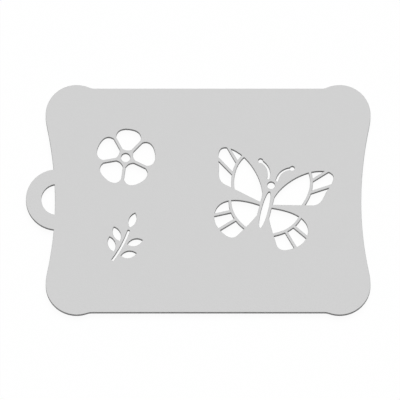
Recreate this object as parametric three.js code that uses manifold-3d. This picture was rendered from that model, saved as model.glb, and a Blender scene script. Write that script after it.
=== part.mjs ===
// A reusable body-art stencil: one flat sheet of matte plastic with a hanging eye on its left side,
// cut through with the windows of three simple motifs that paint is dabbed or sprayed into.
//
// Millimetres. The sheet lies flat: +X runs along its length, +Y up its height as it is read, +Z out of
// its front face. The origin is the centre of its back face, half way between the corner lobes.

import * as THREE from "three";
import { mergeVertices } from "three/addons/utils/BufferGeometryUtils.js";
import Module from "manifold-3d";

const wasm = await Module();
wasm.setup();

// The sheet: four round corner lobes, straight long edges set in a little from them, hollow short sides.
// A flatter shoulder leads from each lobe into its side, which is hollowest at the waist.
const sheetWidth = 125.9;
const sheetHeight = 92.2;
const sheetThickness = 2;
const lobeRadius = 12;
const topSetBack = 1.45;
const bottomSetBack = 1;
const edgeBlendRadius = 5;
const shoulderRadius = 23;
const waistDepth = 3.6;
const waistBelowMiddle = 0.6;

// The hanging eye: a ring that stands half out of the left side, so that its hole is a half moon
const eyeHoleRadius = 6.15;
const eyeRimWidth = 5.95;
const eyeCentreInset = 0.85;
const eyeRise = 0.15;

// The plastic left standing between two windows, and the width of the narrow cut lines
const bridgeWidth = 1.1;
const lineWidth = 1;

// The butterfly: its body lies along its own +Y, and its wings meet the body at its own origin
const butterflyFromRight = 40.5;
const butterflyRise = -2;
const butterflyTurn = -14;
const bodyWidth = 2.6;
const bodyLength = 15;
const bodyBelowWings = 9.5;
const headRadius = 1.5;
const antennaLean = 34;
const antennaReach = 4.6;
const antennaRise = 6;
const antennaKnobRadius = 0.95;
const upperWingReach = 20.5;
const upperWingRise = 18;
const lowerWingReach = 16;
const lowerWingDrop = 15.5;
const wingGap = 1.3;

// The blossom: petals round an eye. A petal's fullness is how far its outline's handles reach out at its
// root and its tip, in shares of its width.
const blossomFromLeft = 31;
const blossomRise = 17;
const blossomTurn = -8;
const petalCount = 5;
const petalLength = 8.6;
const petalWidth = 9.8;
const petalRootFullness = 0.42;
const petalTipFullness = 0.85;
const blossomEyeRadius = 1.8;

// The sprig: a bowed stem with pairs of leaflets along it and one more at its tip
const sprigFromLeft = 26;
const sprigRise = -24;
const sprigTurn = -28;
const stemLength = 13;
const stemBow = 1;
const leafletPairs = 2;
const leafletSpacing = 5;
const leafletLength = 6.2;
const leafletWidth = 2.9;
const leafletLean = 48;

// How finely curves are drawn, and how far a cutter runs past both faces of the sheet
const chordError = 0.01;
const cutterOverrun = 1;
const mergeDistance = 1e-4;

const matteSheet = new THREE.MeshStandardMaterial({ color: 0xd1d1d1, roughness: 0.55, metalness: 0 });

// Wing outlines as cubic Bezier stretches, in shares of the wing's reach and height: where the outline
// leaves the body, then two handles and an end for each stretch. The vein starts and ends off the wing.
// The ribs leave the vein at these values of its curve parameter, which runs from 0 to 1.
const upperWing = {
  start: [0, 0.17],
  stretches: [
    [[0.08, 0.52], [0.46, 0.98], [0.84, 1]],
    [[1.06, 1.01], [1, 0.78], [0.94, 0.6]],
    [[0.89, 0.45], [0.92, 0.24], [0.72, 0.19]],
    [[0.48, 0.13], [0.24, 0.06], [0, 0]],
  ],
  vein: [[0.34, 1.12], [0.68, 0.86], [0.72, 0.4], [0.46, -0.1]],
  ribs: [0.4, 0.61],
};
const lowerWing = {
  start: [0, 0],
  stretches: [
    [[0.32, -0.03], [0.68, -0.02], [0.88, 0.16]],
    [[1.07, 0.33], [1.04, 0.64], [0.86, 0.8]],
    [[0.68, 0.96], [0.46, 1.08], [0.34, 0.9]],
    [[0.26, 0.76], [0.1, 0.5], [0, 0.27]],
  ],
  vein: [[0.76, -0.18], [0.74, 0.3], [0.5, 0.56], [0.02, 0.74]],
  ribs: [0.42, 0.62],
};

// Points along an arc, close enough together to keep within chordError of it
function arcPoints(x, y, radius, from, to) {
  const widestStep = 2 * Math.acos(1 - chordError / radius);
  const count = Math.max(2, Math.ceil(Math.abs(to - from) / widestStep));
  return Array.from({ length: count + 1 }, (_, i) => {
    const angle = from + ((to - from) * i) / count;
    return new THREE.Vector2(x + radius * Math.cos(angle), y + radius * Math.sin(angle));
  });
}

function circlePoints(x, y, radius) {
  return arcPoints(x, y, radius, 0, 2 * Math.PI).slice(0, -1);
}

// How many steps a curve is drawn in, so that no step's middle lies further than chordError off it
function stepsAlong(curve) {
  const gap = (steps, i) => {
    const chordMiddle = curve.getPoint(i / steps).lerp(curve.getPoint((i + 1) / steps), 0.5);
    return chordMiddle.distanceTo(curve.getPoint((i + 0.5) / steps));
  };
  let steps = 2;
  while (Array.from({ length: steps }, (_, i) => gap(steps, i)).some((size) => size > chordError)) {
    steps += 1;
  }
  return steps;
}

function pointsAlong(curve) {
  return curve.getPoints(stepsAlong(curve));
}

// A line drawn along a curve with a round pen, as an outline
function penStroke(curve, width) {
  const half = width / 2;
  const steps = stepsAlong(curve);
  const beside = (side) =>
    Array.from({ length: steps + 1 }, (_, i) => {
      const point = curve.getPoint(i / steps);
      const along = curve.getTangent(i / steps);
      return new THREE.Vector2(point.x - side * half * along.y, point.y + side * half * along.x);
    });
  const cap = (t, turn) => {
    const point = curve.getPoint(t);
    const heading = curve.getTangent(t).angle() + turn;
    return arcPoints(point.x, point.y, half, heading - Math.PI / 2, heading + Math.PI / 2).slice(1, -1);
  };
  return [...beside(-1), ...cap(1, 0), ...beside(1).reverse(), ...cap(0, Math.PI)];
}

function mirrored(points) {
  return points.map((point) => new THREE.Vector2(-point.x, point.y));
}

// A closed outline from its right half, which runs up from the axis and back to it
function bothHalves(rightHalf) {
  return [...rightHalf, ...mirrored(rightHalf).reverse().slice(1, -1)];
}

// An outline raised into a solid between two heights, then moved to its place on the sheet
function prism(points, bottom, top, place = new THREE.Matrix4()) {
  const geometry = new THREE.ExtrudeGeometry(new THREE.Shape(points), {
    depth: top - bottom,
    bevelEnabled: false,
  });
  geometry.translate(0, 0, bottom).applyMatrix4(place);
  geometry.deleteAttribute("normal");
  geometry.deleteAttribute("uv");
  const merged = mergeVertices(geometry, mergeDistance);
  return new wasm.Manifold(
    new wasm.Mesh({
      numProp: 3,
      vertProperties: merged.attributes.position.array,
      triVerts: new Uint32Array(merged.index.array),
    }),
  );
}

function plate(points) {
  return prism(points, 0, sheetThickness);
}

function cutter(points, place) {
  return prism(points, -cutterOverrun, sheetThickness + cutterOverrun, place);
}

function placeAt(x, y, turn) {
  const matrix = new THREE.Matrix4().makeRotationZ(THREE.MathUtils.degToRad(turn));
  return matrix.setPosition(x, y, 0);
}

function union(solids) {
  return solids.reduce((whole, solid) => whole.add(solid));
}

// One quarter of the sheet's edge, from the waist on its right side up to the start of its long edge: the
// hollow side, the shoulder, the corner lobe, and the blend from the lobe to the edge, which is set back
function quarterEdge(waistY, setBack) {
  const lobeX = sheetWidth / 2 - lobeRadius;
  const lobeY = sheetHeight / 2 - lobeRadius;

  const aboveWaist = lobeY - waistY;
  const sideRadius = (waistDepth ** 2 + aboveWaist ** 2) / (2 * waistDepth) - shoulderRadius;
  const sideX = sheetWidth / 2 - waistDepth + sideRadius;
  const shoulderX = sheetWidth / 2 - shoulderRadius;
  const sideEnd = Math.atan2(aboveWaist, shoulderX - sideX);

  const edgeY = sheetHeight / 2 - setBack;
  const blendY = edgeY + edgeBlendRadius;
  const blendX = lobeX - Math.sqrt((lobeRadius + edgeBlendRadius) ** 2 - (blendY - lobeY) ** 2);
  const lobeEnd = Math.atan2(blendY - lobeY, blendX - lobeX);

  return [
    ...arcPoints(sideX, waistY, sideRadius, Math.PI, sideEnd),
    ...arcPoints(shoulderX, lobeY, shoulderRadius, sideEnd - Math.PI, 0).slice(1),
    ...arcPoints(lobeX, lobeY, lobeRadius, 0, lobeEnd).slice(1),
    ...arcPoints(blendX, blendY, edgeBlendRadius, lobeEnd - Math.PI, -Math.PI / 2).slice(1),
  ];
}

// Half of the sheet's edge, from the waist on its right side over its top to the waist on its left side
function halfEdge(waistY, setBack) {
  const quarter = quarterEdge(waistY, setBack);
  return [...quarter, ...mirrored(quarter).reverse()];
}

// The sheet's lower half is made as an upper half and turned round
function sheetEdge() {
  const topHalf = halfEdge(-waistBelowMiddle, topSetBack);
  const bottomHalf = halfEdge(waistBelowMiddle, bottomSetBack);
  const turned = bottomHalf.map((point) => new THREE.Vector2(-point.x, -point.y));
  return [...topHalf.slice(0, -1), ...turned.slice(0, -1)];
}

// The ring of the hanging eye. The sheet fills the half of its hole that lies inside the side's edge.
function hangingEye() {
  const x = -(sheetWidth / 2 - waistDepth) + eyeCentreInset;
  const disc = plate(circlePoints(x, eyeRise, eyeHoleRadius + eyeRimWidth));
  return disc.subtract(cutter(circlePoints(x, eyeRise, eyeHoleRadius)));
}

// A wing's windows on both sides of the body, with bridges left along its vein and its ribs. A rib runs
// from the vein to past the wing's edge, in line with the wing's root.
function wingPair(wing, reach, height, rootX, rootY, place) {
  const at = ([x, y]) => new THREE.Vector2(rootX + x * reach, rootY + y * height);
  const outline = [at(wing.start)];
  for (const [firstHandle, secondHandle, end] of wing.stretches) {
    const from = outline[outline.length - 1];
    const stretch = new THREE.CubicBezierCurve(from, at(firstHandle), at(secondHandle), at(end));
    outline.push(...pointsAlong(stretch).slice(1));
  }

  const vein = new THREE.CubicBezierCurve(...wing.vein.map(at));
  const ribs = wing.ribs.map((share) => {
    const foot = vein.getPoint(share);
    const end = foot.clone().multiplyScalar(2).sub(at([0, 0]));
    return new THREE.LineCurve(foot, end);
  });
  const bridges = [vein, ...ribs].map((line) => penStroke(line, bridgeWidth));

  const oneSide = (side) =>
    cutter(side(outline), place).subtract(union(bridges.map((bridge) => cutter(side(bridge), place))));
  return oneSide((points) => points).add(oneSide(mirrored));
}

function butterflyWindows() {
  const place = placeAt(sheetWidth / 2 - butterflyFromRight, butterflyRise, butterflyTurn);
  const rootX = bodyWidth / 2 + bridgeWidth;
  const bodyTop = bodyLength - bodyBelowWings;
  const headY = bodyTop + bridgeWidth + headRadius;

  const body = new THREE.EllipseCurve(0, bodyTop - bodyLength / 2, bodyWidth / 2, bodyLength / 2);
  const fromHead = headRadius + bridgeWidth + lineWidth / 2;
  const lean = THREE.MathUtils.degToRad(antennaLean);
  const antennaRoot = new THREE.Vector2(fromHead * Math.sin(lean), headY + fromHead * Math.cos(lean));
  const antennaTip = new THREE.Vector2(antennaRoot.x + antennaReach, antennaRoot.y + antennaRise);
  const antennaBend = new THREE.Vector2(antennaRoot.x, antennaTip.y - antennaRise / 4);
  const antenna = penStroke(new THREE.QuadraticBezierCurve(antennaRoot, antennaBend, antennaTip), lineWidth);
  const knob = circlePoints(antennaTip.x, antennaTip.y, antennaKnobRadius);

  return union([
    wingPair(upperWing, upperWingReach, upperWingRise, rootX, wingGap / 2, place),
    wingPair(lowerWing, lowerWingReach, -lowerWingDrop, rootX, -wingGap / 2, place),
    cutter(pointsAlong(body).slice(0, -1), place),
    cutter(circlePoints(0, headY, headRadius), place),
    ...[antenna, mirrored(antenna), knob, mirrored(knob)].map((points) => cutter(points, place)),
  ]);
}

// The petals are so full that they would run into each other, so a bridge is left between each two
function blossomWindows() {
  const root = blossomEyeRadius + bridgeWidth;
  const tip = root + petalLength;
  const rightSide = new THREE.CubicBezierCurve(
    new THREE.Vector2(0, root),
    new THREE.Vector2(petalWidth * petalRootFullness, root),
    new THREE.Vector2(petalWidth * petalTipFullness, tip),
    new THREE.Vector2(0, tip),
  );
  const petal = bothHalves(pointsAlong(rightSide));
  const spokeLine = new THREE.LineCurve(new THREE.Vector2(0, 0), new THREE.Vector2(0, tip));
  const spoke = penStroke(spokeLine, bridgeWidth);

  const turned = (turn) => placeAt(-sheetWidth / 2 + blossomFromLeft, blossomRise, turn);
  const petals = [];
  const spokes = [];
  for (let i = 0; i < petalCount; i += 1) {
    const turn = blossomTurn + (i * 360) / petalCount;
    petals.push(cutter(petal, turned(turn)));
    spokes.push(cutter(spoke, turned(turn + 180 / petalCount)));
  }
  const eye = cutter(circlePoints(0, 0, blossomEyeRadius), turned(0));
  return union(petals).subtract(union(spokes)).add(eye);
}

// A pointed leaflet that stands on the origin and runs up +Y
function leafletOutline() {
  const halfLength = leafletLength / 2;
  const halfWidth = leafletWidth / 2;
  const radius = (halfLength ** 2 + halfWidth ** 2) / leafletWidth;
  const tip = Math.atan2(halfLength, radius - halfWidth);
  return bothHalves(arcPoints(halfWidth - radius, halfLength, radius, -tip, tip));
}

function sprigWindows() {
  const place = placeAt(-sheetWidth / 2 + sprigFromLeft, sprigRise, sprigTurn);
  const stem = new THREE.QuadraticBezierCurve(
    new THREE.Vector2(0, 0),
    new THREE.Vector2(stemBow, stemLength / 2),
    new THREE.Vector2(0, stemLength),
  );
  const leaflet = leafletOutline();
  const leafletAt = (share, aside, ahead, lean) => {
    const point = stem.getPoint(share);
    const heading = THREE.MathUtils.radToDeg(stem.getTangent(share).angle()) - 90;
    const onStem = placeAt(point.x, point.y, heading);
    return cutter(leaflet, place.clone().multiply(onStem).multiply(placeAt(aside, ahead, lean)));
  };

  const clearance = lineWidth / 2 + bridgeWidth;
  const leaflets = [leafletAt(1, 0, clearance, 0)];
  for (let pair = 1; pair <= leafletPairs; pair += 1) {
    const share = 1 - (pair * leafletSpacing) / stemLength;
    leaflets.push(leafletAt(share, clearance, 0, -leafletLean));
    leaflets.push(leafletAt(share, -clearance, 0, leafletLean));
  }
  return union([cutter(penStroke(stem, lineWidth), place), ...leaflets]);
}

// A manifold-3d solid as a flat-shaded three.js geometry
function geometryOf(solid) {
  const { vertProperties, triVerts } = solid.getMesh();
  const geometry = new THREE.BufferGeometry();
  geometry.setAttribute("position", new THREE.BufferAttribute(new Float32Array(vertProperties), 3));
  geometry.setIndex(new THREE.BufferAttribute(new Uint32Array(triVerts), 1));
  const flat = geometry.toNonIndexed();
  flat.computeVertexNormals();
  return flat;
}

const windows = union([butterflyWindows(), blossomWindows(), sprigWindows()]);
const sheet = plate(sheetEdge()).add(hangingEye()).subtract(windows);

const stencil = new THREE.Group();
const sheetMesh = new THREE.Mesh(geometryOf(sheet), matteSheet);
sheetMesh.name = "stencil_sheet";
stencil.add(sheetMesh);

export default stencil;
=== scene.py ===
import math

import bmesh
import bpy
from mathutils import Euler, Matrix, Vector
from mathutils.geometry import delaunay_2d_cdt


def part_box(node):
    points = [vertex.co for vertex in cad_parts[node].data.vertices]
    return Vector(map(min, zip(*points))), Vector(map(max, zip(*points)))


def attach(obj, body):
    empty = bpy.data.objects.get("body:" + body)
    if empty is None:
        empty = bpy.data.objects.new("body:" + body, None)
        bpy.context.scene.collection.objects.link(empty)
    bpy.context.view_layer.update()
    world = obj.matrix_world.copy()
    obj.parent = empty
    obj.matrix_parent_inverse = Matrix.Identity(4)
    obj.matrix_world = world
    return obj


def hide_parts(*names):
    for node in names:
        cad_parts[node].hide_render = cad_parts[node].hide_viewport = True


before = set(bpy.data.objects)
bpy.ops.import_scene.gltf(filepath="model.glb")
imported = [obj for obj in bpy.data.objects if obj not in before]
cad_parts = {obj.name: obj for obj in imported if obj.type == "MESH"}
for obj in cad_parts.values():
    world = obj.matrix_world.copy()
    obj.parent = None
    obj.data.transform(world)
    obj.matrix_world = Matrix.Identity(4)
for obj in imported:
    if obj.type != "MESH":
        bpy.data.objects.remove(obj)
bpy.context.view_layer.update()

# Metres, in the part's own frame: the sheet lies flat, front face up, and is read from -Y. It reaches as
# far to the left without its hanging eye as it does to the right.
MM = 0.001
SHEET = "stencil_sheet"
sheet_low, sheet_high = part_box(SHEET)
SHEET_WIDTH = 2 * sheet_high.x

# The photograph's frame in pixels: its side, the sheet's width without the eye, and where the middle of the
# sheet's front lies, across from the left and down from the top
PHOTO_SIDE = 400
SHEET_PIXELS = 324.8
MIDDLE_ACROSS = 208.1
MIDDLE_DOWN = 199.87
CAMERA_TILT = math.radians(15)
CAMERA_DISTANCE = 0.6

# The cut edge: its rims are rounded a little, and where its outline turns by more than a corner's turn it
# stays crisp. Points closer than the shortest step become one.
RIM_ROUNDING = 0.12 * MM
ROUNDING_STEPS = 3
CORNER_TURN = math.radians(30)
SHORTEST_STEP = 0.05 * MM
WELD_DISTANCE = 0.001 * MM
FILL_TOLERANCE = 0.0001 * MM
FACE_SLOT, CUT_SLOT = 0, 1

# The plastic: tones are linear shares of white, sizes and depths are millimetres. A mottle is by what share
# a tone goes up and down, and a roughness runs between its two values.
SPECULAR_LEVEL = 0.35
NOISE_DETAIL = 3
FACE_TONE = 0.634
FACE_MOTTLE = 0.02
FACE_ROUGHNESS = (0.5, 0.62)
GRAIN_SIZE = 0.35
GRAIN_DEPTH = 0.03
CLOUD_SIZE = 14
# The cut edge's tone is darker than the face's, partly as a cut's own colour and partly as painted shade
# for the walls that face away from the lamp.
CUT_TONE_WITH_PAINTED_SHADE = 0.5
CUT_MOTTLE = 0.2
CUT_ROUGHNESS = (0.6, 0.8)
CUTTER_LINE_SIZE = 0.22
CUTTER_LINE_STRETCH = 0.06
CUTTER_LINE_DEPTH = 0.06

# The studio: a broad soft lamp beyond the sheet's top edge, a dim even sky and a white floor. The floor
# shows its shadow in part, and throws back less light than it shows. A hair's breadth lies between the
# floor and the sheet's back, so that they don't share a plane.
WHITE = (1, 1, 1, 1)
LAMP_STRENGTH = 2.6
LAMP_BREADTH = math.radians(50)
LAMP_TURN = Euler((math.radians(-38), math.radians(6), 0))
SKY_LEVEL = 0.3
FLOOR_HALF_SIDE = 3
FLOOR_DROP = 0.05 * MM
FLOOR_BOUNCE_COLOUR = (0.3, 0.3, 0.3, 1)
FLOOR_SHADOW_SHARE = 0.06


def link_new(name, data):
    obj = bpy.data.objects.new(name, data)
    bpy.context.scene.collection.objects.link(obj)
    return obj


# The sheet's shape

def in_front(face):
    """Whether a face of the solid belongs to the sheet's front."""
    return all(abs(vert.co.z - sheet_high.z) < WELD_DISTANCE for vert in face.verts)


def rim_outlines(node):
    """The outlines of the front face, each as its points in order, with the plastic on their left."""
    solid = bmesh.new()
    solid.from_mesh(node.data)
    bmesh.ops.remove_doubles(solid, verts=solid.verts, dist=WELD_DISTANCE)
    following = {}
    for face in filter(in_front, solid.faces):
        for corner in face.loops:
            if not all(in_front(beside) for beside in corner.edge.link_faces):
                following[corner.vert] = corner.link_loop_next.vert
    outlines = []
    while following:
        vert = next(iter(following))
        outline = []
        while vert in following:
            outline.append(vert.co.xy)
            vert = following.pop(vert)
        outlines.append(without_short_steps(outline))
    solid.free()
    return outlines


def turn_at(outline, i):
    """By how much the outline turns at one of its points."""
    before = outline[i] - outline[i - 1]
    after = outline[(i + 1) % len(outline)] - outline[i]
    return abs(before.angle_signed(after))


def without_short_steps(outline):
    """Where two points nearly meet, the one that turns less is left out."""
    points = [Vector(point) for point in outline]
    while True:
        steps = [(point - points[i - 1]).length for i, point in enumerate(points)]
        nearest = steps.index(min(steps))
        if steps[nearest] > SHORTEST_STEP:
            return points
        points.pop(min(nearest, nearest - 1, key=lambda i: turn_at(points, i)))


def outward_at(outline, i):
    """How far the outline's point moves when both lines that meet there move out by one metre."""
    before = (outline[i] - outline[i - 1]).normalized()
    after = (outline[(i + 1) % len(outline)] - outline[i]).normalized()
    out_before = Vector((before.y, -before.x))
    out_after = Vector((after.y, -after.x))
    return (out_before + out_after) / (1 + out_before.dot(out_after))


def edge_profile(thickness):
    """Round the cut edge from the back face to the front face: how far in from the cut, and how high."""
    turns = [math.pi / 2 * i / ROUNDING_STEPS for i in range(ROUNDING_STEPS + 1)]
    front = [
        (RIM_ROUNDING * (1 - math.cos(turn)), thickness - RIM_ROUNDING * (1 - math.sin(turn)))
        for turn in turns
    ]
    back = [(inset, thickness - height) for inset, height in reversed(front)]
    return back + front


def add_cut_edge(shape, outline, profile):
    """Sweeps the profile along one outline. Returns the two rings of points that the flat faces join."""
    outward = [outward_at(outline, i) for i in range(len(outline))]
    rings = []
    for inset, height in profile:
        places = [point - inset * out for point, out in zip(outline, outward)]
        rings.append([shape.verts.new((place.x, place.y, height)) for place in places])
    corners = [i for i in range(len(outline)) if turn_at(outline, i) > CORNER_TURN]
    for lower, upper in zip(rings, rings[1:]):
        for i in range(len(outline)):
            strip = shape.faces.new((lower[i - 1], lower[i], upper[i], upper[i - 1]))
            strip.smooth = True
            strip.material_index = CUT_SLOT
        for i in corners:
            shape.edges.get((lower[i], upper[i])).smooth = False
    for ring in (rings[0], rings[-1]):
        for i in range(len(ring)):
            shape.edges.get((ring[i - 1], ring[i])).smooth = False
    return rings[0], rings[-1]


def add_flat_faces(shape, back_rings, front_rings):
    """Fills the sheet's two faces. The plastic lies on the left of every ring, the outer one's included."""
    back = [vert for ring in back_rings for vert in ring]
    front = [vert for ring in front_rings for vert in ring]
    numbers = iter(range(len(front)))
    outlines = [[next(numbers) for _ in ring] for ring in front_rings]
    places = [vert.co.xy for vert in front]
    _, _, triangles, sources, _, left_of = delaunay_2d_cdt(places, [], outlines, 0, FILL_TOLERANCE)
    for triangle, rings_it_is_left_of in zip(triangles, left_of):
        if len(rings_it_is_left_of) == len(outlines):
            corners = [sources[i][0] for i in triangle]
            shape.faces.new([front[i] for i in corners]).material_index = FACE_SLOT
            shape.faces.new([back[i] for i in reversed(corners)]).material_index = FACE_SLOT


def make_sheet(node):
    """The sheet of the CAD node, with its cut edges' rims rounded."""
    outlines = rim_outlines(node)
    profile = edge_profile(sheet_high.z - sheet_low.z)
    shape = bmesh.new()
    rings = [add_cut_edge(shape, outline, profile) for outline in outlines]
    back_rings, front_rings = zip(*rings)
    add_flat_faces(shape, back_rings, front_rings)
    mesh = bpy.data.meshes.new("stencil_sheet_cut")
    shape.to_mesh(mesh)
    shape.free()
    return link_new("stencil_sheet_cut", mesh)


# Materials

class Nodes:
    """Adds nodes to one material or world and joins them."""

    def __init__(self, owner):
        owner.use_nodes = True
        self.tree = owner.node_tree
        self.tree.nodes.clear()

    def add(self, kind, settings=None, **inputs):
        node = self.tree.nodes.new(kind)
        for name, value in (settings or {}).items():
            setattr(node, name, value)
        for name, value in inputs.items():
            self.feed(node.inputs[name.replace("_", " ")], value)
        return node

    def feed(self, socket, value):
        if isinstance(value, bpy.types.NodeSocket):
            self.tree.links.new(value, socket)
        else:
            socket.default_value = value

    def math(self, operation, first, second):
        node = self.add("ShaderNodeMath", {"operation": operation})
        self.feed(node.inputs[0], first)
        self.feed(node.inputs[1], second)
        return node.outputs[0]

    def mix(self, share, first, second):
        """The first shader where the share is 0, the second where it is 1."""
        node = self.add("ShaderNodeMixShader")
        for socket, value in zip(node.inputs, (share, first, second)):
            self.feed(socket, value)
        return node.outputs[0]

    def millimetres(self, stretch=(1, 1, 1)):
        """Where the point lies on the object, in millimetres, times the stretch along each axis."""
        place = self.add("ShaderNodeTexCoord").outputs["Object"]
        scale = tuple(share / MM for share in stretch)
        return self.add("ShaderNodeMapping", Vector=place, Scale=scale).outputs[0]

    def noise(self, place, size):
        """Noise from 0 to 1 whose lumps are about this many millimetres across."""
        return self.add("ShaderNodeTexNoise", Vector=place, Scale=1 / size, Detail=NOISE_DETAIL).outputs[0]

    def spread(self, value, low, high):
        """A value from 0 to 1, spread over another range."""
        return self.add("ShaderNodeMapRange", Value=value, To_Min=low, To_Max=high).outputs[0]

    def mottled(self, tone, value, mottle):
        """A tone that goes up and down with the value."""
        return self.math("MULTIPLY", self.spread(value, 1 - mottle, 1 + mottle), tone)

    def grey(self, tone):
        return self.add("ShaderNodeCombineColor", Red=tone, Green=tone, Blue=tone).outputs[0]

    def relief(self, height, depth):
        """Relief that is this many millimetres deep."""
        return self.add("ShaderNodeBump", Height=height, Strength=1, Distance=depth * MM).outputs[0]

    def plastic(self, tone, roughness, relief):
        node = self.add("ShaderNodeBsdfPrincipled", Base_Color=self.grey(tone), Normal=relief)
        self.feed(node.inputs["Roughness"], roughness)
        self.feed(node.inputs["Specular IOR Level"], SPECULAR_LEVEL)
        return node.outputs[0]

    def show(self, kind, surface):
        self.add(kind, Surface=surface)


def matte_face_material():
    """Plastic with a fine matte grain, and faint clouds in its tone and its gloss."""
    material = bpy.data.materials.new("matte_sheet_face")
    nodes = Nodes(material)
    place = nodes.millimetres()
    grain = nodes.noise(place, GRAIN_SIZE)
    clouds = nodes.noise(place, CLOUD_SIZE)
    tone = nodes.mottled(nodes.mottled(FACE_TONE, clouds, FACE_MOTTLE), grain, FACE_MOTTLE)
    roughness = nodes.spread(clouds, *FACE_ROUGHNESS)
    surface = nodes.plastic(tone, roughness, nodes.relief(grain, GRAIN_DEPTH))
    nodes.show("ShaderNodeOutputMaterial", surface)
    return material


def cut_edge_material():
    """The cut through the sheet: darker than the face, partly as a cut edge's own tone and partly as
    painted shade, with the cutter's fine lines running from face to face.
    """
    material = bpy.data.materials.new("matte_sheet_cut_edge")
    nodes = Nodes(material)
    lines = nodes.noise(nodes.millimetres((1, 1, CUTTER_LINE_STRETCH)), CUTTER_LINE_SIZE)
    # The cut's darker tone is partly painted shade, deepening the shade on the walls that face away from
    # the lamp.
    tone = nodes.mottled(CUT_TONE_WITH_PAINTED_SHADE, lines, CUT_MOTTLE)
    roughness = nodes.spread(lines, *CUT_ROUGHNESS)
    surface = nodes.plastic(tone, roughness, nodes.relief(lines, CUTTER_LINE_DEPTH))
    nodes.show("ShaderNodeOutputMaterial", surface)
    return material


def seen_directly(nodes):
    """1 for the rays that show a background: from the camera, or by way of gloss or glass."""
    path = nodes.add("ShaderNodeLightPath")
    gloss = nodes.math("MAXIMUM", path.outputs["Is Glossy Ray"], path.outputs["Is Transmission Ray"])
    return nodes.math("MAXIMUM", path.outputs["Is Camera Ray"], gloss)


def floor_material():
    """White with a faint shadow where it is seen, and a darker tone for the light that it throws back."""
    material = bpy.data.materials.new("studio_floor")
    nodes = Nodes(material)
    white = nodes.add("ShaderNodeEmission", Color=WHITE, Strength=1).outputs[0]
    shaded = nodes.add("ShaderNodeBsdfDiffuse", Color=WHITE).outputs[0]
    bounce = nodes.add("ShaderNodeBsdfDiffuse", Color=FLOOR_BOUNCE_COLOUR).outputs[0]
    seen = nodes.mix(FLOOR_SHADOW_SHARE, white, shaded)
    nodes.show("ShaderNodeOutputMaterial", nodes.mix(seen_directly(nodes), bounce, seen))
    return material


# The studio

def make_floor():
    mesh = bpy.data.meshes.new("studio_floor")
    signs = ((-1, -1), (1, -1), (1, 1), (-1, 1))
    height = sheet_low.z - FLOOR_DROP
    corners = [(x * FLOOR_HALF_SIDE, y * FLOOR_HALF_SIDE, height) for x, y in signs]
    mesh.from_pydata(corners, [], [(0, 1, 2, 3)])
    mesh.materials.append(floor_material())
    link_new("studio_floor", mesh)


def make_world():
    world = bpy.data.worlds.new("studio_world")
    bpy.context.scene.world = world
    nodes = Nodes(world)
    level = nodes.spread(seen_directly(nodes), SKY_LEVEL, 1)
    sky = nodes.add("ShaderNodeBackground", Color=WHITE, Strength=level)
    nodes.show("ShaderNodeOutputWorld", sky.outputs[0])


def make_lamp():
    light = bpy.data.lights.new("studio_lamp", "SUN")
    light.energy = LAMP_STRENGTH
    light.angle = LAMP_BREADTH
    link_new("studio_lamp", light).rotation_euler = LAMP_TURN


def make_camera():
    """Looks down on the sheet, square to its length and tilted towards its foot, as the photograph does."""
    metre_per_pixel = SHEET_WIDTH / SHEET_PIXELS
    data = bpy.data.cameras.new("camera")
    data.type = "ORTHO"
    data.ortho_scale = PHOTO_SIDE * metre_per_pixel
    camera = link_new("camera", data)
    camera.rotation_euler = Euler((CAMERA_TILT, 0, 0))
    turned = camera.rotation_euler.to_matrix()
    across = (PHOTO_SIDE / 2 - MIDDLE_ACROSS) * metre_per_pixel
    up = (MIDDLE_DOWN - PHOTO_SIDE / 2) * metre_per_pixel
    camera.location = Vector((0, 0, sheet_high.z)) + turned @ Vector((across, up, CAMERA_DISTANCE))
    bpy.context.scene.camera = camera


bpy.context.scene.view_settings.view_transform = "Standard"
make_camera()
make_world()
make_lamp()
make_floor()

sheet = make_sheet(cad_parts[SHEET])
sheet.data.materials.append(matte_face_material())
sheet.data.materials.append(cut_edge_material())
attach(sheet, "root")
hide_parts(SHEET)
